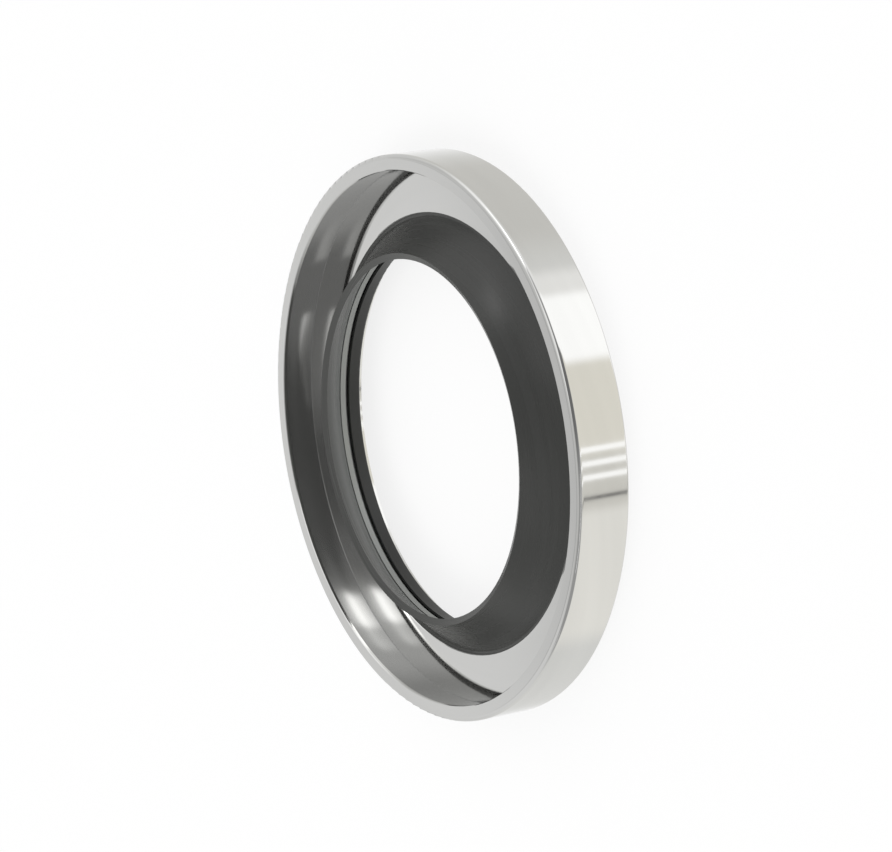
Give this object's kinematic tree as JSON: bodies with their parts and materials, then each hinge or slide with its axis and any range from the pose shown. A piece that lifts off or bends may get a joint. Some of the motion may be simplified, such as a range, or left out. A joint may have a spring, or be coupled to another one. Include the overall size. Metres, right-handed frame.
{
  "type": "ptfe rotary shaft seal",
  "caption": "Rotary shaft seal: a polished steel ring case with a rolled front edge clamps formed black PTFE lips round an open shaft bore.",
  "frame": {"origin": "centre of the ring's flat back face, on which it lies", "axes": "+Z along the ring's axis, from the back face to the open front that the sealing lip points to; X and Y are any two directions across it"},
  "size_m": [0.1, 0.1, 0.0104],
  "materials": {
    "steel_case": "turned and polished stainless steel",
    "steel_sheet": "plain rolled stainless sheet with a blanked edge",
    "ptfe": "carbon filled PTFE, smooth with a slight sheen"
  },
  "bodies": {
    "root": {"outer_case": "steel_case", "inner_case": "steel_case", "primary_lip": "ptfe", "support_ring": "steel_sheet", "secondary_lip": "ptfe"}
  },
  "joints": []
}
